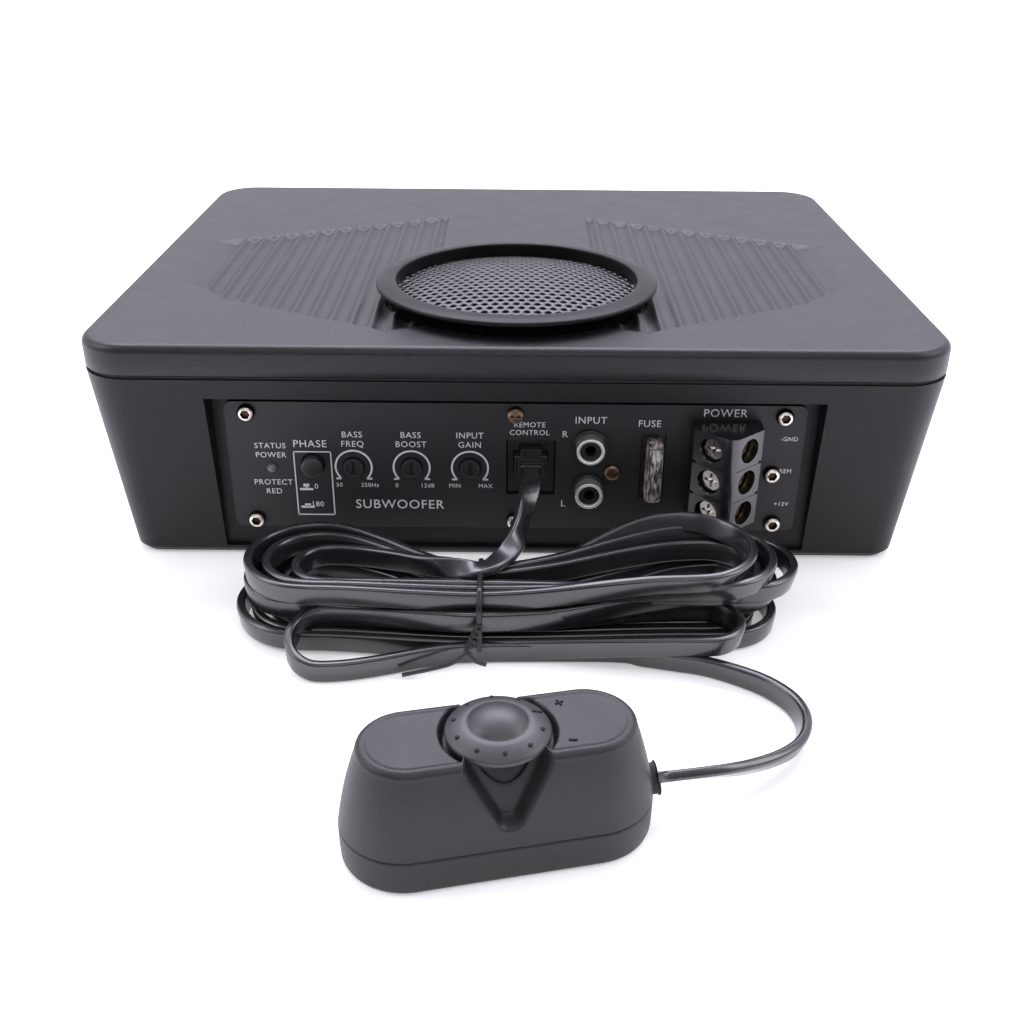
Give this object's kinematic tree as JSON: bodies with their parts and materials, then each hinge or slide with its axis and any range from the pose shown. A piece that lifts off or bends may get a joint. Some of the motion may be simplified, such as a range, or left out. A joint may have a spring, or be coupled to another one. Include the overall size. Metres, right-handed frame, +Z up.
{
  "type": "powered car subwoofer",
  "caption": "Flat under-seat powered subwoofer: tapered black housing, round top grille, front control and connector panel, and a wired level remote on a tied flat cord.",
  "frame": {"origin": "centre of the housing's base, on the surface that it stands on", "axes": "+X to the right along the control panel, +Y from the control panel to the back, +Z up; the remote lies in front, on the -Y side"},
  "size_m": [0.25, 0.3324, 0.0755],
  "materials": {
    "housing_plastic": "fine texture, satin black",
    "seam_rubber": "matt black foam rubber",
    "plain_steel": "zinc-plated steel",
    "ring_plastic": "semi-gloss black",
    "grille_steel": "black powder coat on perforated steel",
    "driver_frame": "black paint on pressed steel",
    "ferrite": "bare ferrite",
    "copper": "enamelled copper wire",
    "cone_paper": "coated paper",
    "surround_rubber": "soft matt rubber",
    "spider_cloth": "corrugated cloth",
    "wire_pvc": "insulated wire",
    "board_green": "solder mask",
    "sink_aluminium": "extruded aluminium",
    "device_epoxy": "moulded epoxy",
    "capacitor_sleeve": "shrink sleeve",
    "core_yellow": "coated powder-iron core",
    "panel_paint": "black paint with white legends",
    "bright_screw": "bright nickel plate",
    "brown_screw": "browned steel",
    "led_lens": "clear lens",
    "switch_body": "moulded nylon",
    "button_black": "glossy black",
    "trimmer_body": "moulded body",
    "trimmer_shaft": "black nylon",
    "connector_black": "moulded black",
    "fuse_clear": "translucent smoke",
    "terminal_black": "glossy black",
    "brass_clamp": "plain brass",
    "remote_plastic": "fine matt texture",
    "knob_plastic": "satin",
    "cord_pvc": "glossy black PVC",
    "tie_plastic": "plastic-coated wire"
  },
  "bodies": {
    "housing": {"top_cover": "housing_plastic", "bottom_case": "housing_plastic", "case_gasket": "seam_rubber", "case_screws": "plain_steel", "rubber_feet": "seam_rubber", "grille_ring": "ring_plastic", "grille_mesh": "grille_steel", "driver_gasket": "seam_rubber", "driver_basket": "driver_frame", "driver_screws": "plain_steel", "top_plate": "plain_steel", "magnet": "ferrite", "back_plate": "plain_steel", "surround": "surround_rubber", "spider": "spider_cloth", "speaker_wires": "wire_pvc", "amp_board": "board_green", "board_screws": "plain_steel", "heat_sink": "sink_aluminium", "power_transistors": "device_epoxy", "capacitors": "capacitor_sleeve", "toroid_core": "core_yellow", "toroid_winding": "copper", "control_panel": "panel_paint", "panel_screws": "bright_screw", "jack_screws": "brown_screw", "status_led": "led_lens", "phase_switch": "switch_body", "frequency_trimmer": "trimmer_body", "boost_trimmer": "trimmer_body", "gain_trimmer": "trimmer_body", "remote_jack": "connector_black", "rca_body": "connector_black", "rca_shell_right": "bright_screw", "rca_shell_left": "bright_screw", "rca_contacts": "connector_black", "fuse_holder": "connector_black", "terminal_block": "terminal_black", "terminal_screws": "bright_screw", "terminal_clamps": "brass_clamp", "remote_base": "remote_plastic", "remote_shell": "remote_plastic", "remote_pot": "trimmer_body", "remote_screws": "plain_steel", "remote_grommet": "cord_pvc", "remote_plug": "connector_black", "cord_lead_in": "cord_pvc", "cord_hank": "cord_pvc", "cord_lead_out": "cord_pvc", "hank_tie": "tie_plastic"},
    "cone_assembly": {"voice_coil": "copper", "cone": "cone_paper", "dust_cap": "cone_paper"},
    "phase_button": {"phase_button": "button_black"},
    "frequency_shaft": {"frequency_shaft": "trimmer_shaft"},
    "boost_shaft": {"boost_shaft": "trimmer_shaft"},
    "gain_shaft": {"gain_shaft": "trimmer_shaft"},
    "remote_knob": {"remote_knob": "knob_plastic"},
    "fuse": {"fuse_body": "fuse_clear", "fuse_blades": "plain_steel"}
  },
  "joints": [
    {"name": "cone_travel", "type": "slide", "parent": "housing", "child": "cone_assembly", "axis": [0, 0, 1], "range_m": [-0.0035, 0.0035], "stiffness_N_per_m": 2000, "deforming": ["surround", "spider"]},
    {"name": "phase_press", "type": "slide", "parent": "housing", "child": "phase_button", "axis": [0, 1, 0], "range_m": [0, 0.0025], "stiffness_N_per_m": 300},
    {"name": "frequency_turn", "type": "hinge", "parent": "housing", "child": "frequency_shaft", "pos_m": [-0.0481, -0.093, 0.0301], "axis": [0, 1, 0], "range_deg": [-150, 150]},
    {"name": "boost_turn", "type": "hinge", "parent": "housing", "child": "boost_shaft", "pos_m": [-0.0308, -0.093, 0.0301], "axis": [0, 1, 0], "range_deg": [-150, 150]},
    {"name": "gain_turn", "type": "hinge", "parent": "housing", "child": "gain_shaft", "pos_m": [-0.0134, -0.093, 0.0301], "axis": [0, 1, 0], "range_deg": [-150, 150]},
    {"name": "remote_turn", "type": "hinge", "parent": "housing", "child": "remote_knob", "pos_m": [-0.003, -0.2137, 0.0288], "axis": [0, 0, -1], "range_deg": [-297, 3]},
    {"name": "fuse_pull", "type": "slide", "parent": "housing", "child": "fuse", "axis": [0, -1, 0], "range_m": [0, 0.009]}
  ]
}
